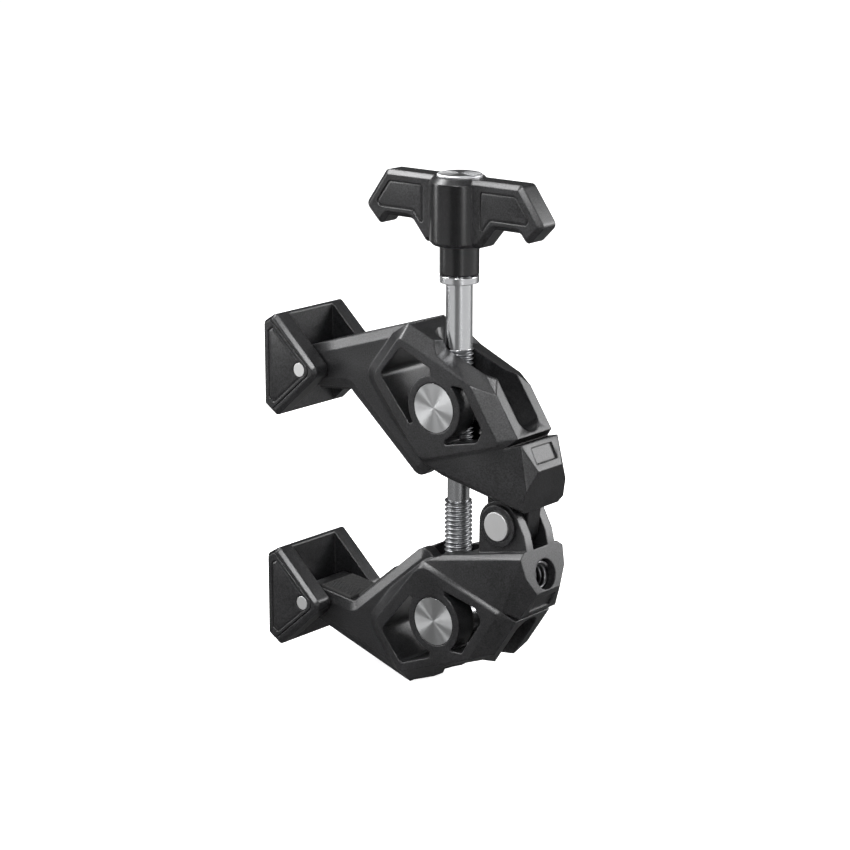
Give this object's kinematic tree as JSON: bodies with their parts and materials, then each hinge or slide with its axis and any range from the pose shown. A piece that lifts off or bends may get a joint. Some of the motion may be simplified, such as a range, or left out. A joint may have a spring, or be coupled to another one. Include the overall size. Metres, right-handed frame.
{
  "type": "super clamp",
  "caption": "Compact screw-driven super clamp with two hinged arms, swivelling jaw pads, rubber-faced V jaws, a T-handle and a threaded rear socket.",
  "frame": {"origin": "middle of the tube held between the four jaw faces at this opening, on the middle plane of the arms", "axes": "+X towards the hinge, +Y along the held tube, +Z along the clamping screw towards the handle"},
  "size_m": [0.0713, 0.0226, 0.1123],
  "materials": {
    "black_anodised": "fine bead-blasted black anodised aluminium",
    "handle_anodised": "black anodised aluminium, satin",
    "stainless_steel": "turned stainless steel",
    "pin_steel": "plain ground steel",
    "rubber": "matte ribbed rubber"
  },
  "bodies": {
    "lower_arm": {"lower_arm": "black_anodised", "lower_tip_rubber": "rubber", "lower_throat_rubber": "rubber", "rear_thread_insert": "stainless_steel", "hinge_pin": "pin_steel", "hinge_pin_cap": "pin_steel", "hinge_ring_near": "black_anodised", "hinge_ring_far": "black_anodised"},
    "upper_arm": {"upper_arm": "black_anodised", "upper_tip_rubber": "rubber", "upper_throat_rubber": "rubber"},
    "lower_nut": {"lower_barrel_nut": "stainless_steel"},
    "upper_nut": {"upper_barrel_nut": "stainless_steel"},
    "collar": {"thrust_collar": "stainless_steel"},
    "screw": {"clamp_screw": "stainless_steel", "t_handle": "handle_anodised", "handle_cap": "stainless_steel"},
    "upper_pad": {"upper_jaw_pad": "black_anodised", "upper_pad_rubber": "rubber", "upper_pad_pin": "pin_steel", "upper_pad_plate_near": "black_anodised", "upper_pad_plate_far": "black_anodised"},
    "lower_pad": {"lower_jaw_pad": "black_anodised", "lower_pad_rubber": "rubber", "lower_pad_pin": "pin_steel", "lower_pad_plate_near": "black_anodised", "lower_pad_plate_far": "black_anodised"}
  },
  "joints": [
    {"name": "jaw_hinge", "type": "hinge", "parent": "lower_arm", "child": "upper_arm", "pos_m": [0.04795, 0, 0], "axis": [0, 1, 0], "range_deg": [-26, 12]},
    {"name": "lower_nut_swivel", "type": "hinge", "parent": "lower_arm", "child": "lower_nut", "pos_m": [0.03302, 0, -0.02356], "axis": [0, 1, 0], "range_deg": [-13, 6]},
    {"name": "screw_travel", "type": "slide", "parent": "lower_nut", "child": "collar", "axis": [0, 0, 1], "range_m": [-0.00385, 0.00178]},
    {"name": "handle_turn", "type": "hinge", "parent": "collar", "child": "screw", "pos_m": [0.03302, 0, 0], "axis": [0, 0, 1], "range_deg": [-1386.7, 640]},
    {"name": "upper_nut_swivel", "type": "hinge", "parent": "upper_arm", "child": "upper_nut", "pos_m": [0.03302, 0, 0.02356], "axis": [0, 1, 0], "range_deg": [-6, 13]},
    {"name": "upper_pad_swivel", "type": "hinge", "parent": "upper_arm", "child": "upper_pad", "pos_m": [-0.00296, 0, 0.0267], "axis": [0, 1, 0], "range_deg": [-75, 20]},
    {"name": "lower_pad_swivel", "type": "hinge", "parent": "lower_arm", "child": "lower_pad", "pos_m": [-0.00296, 0, -0.0267], "axis": [0, 1, 0], "range_deg": [-20, 75]}
  ],
  "couplings": [
    {"joint": "jaw_hinge", "follows": "handle_turn", "ratio": 0.01875},
    {"joint": "lower_nut_swivel", "follows": "handle_turn", "ratio": 0.009375},
    {"joint": "upper_nut_swivel", "follows": "handle_turn", "ratio": -0.009375},
    {"joint": "screw_travel", "follows": "handle_turn", "m_per_rad": 0.00015915}
  ]
}
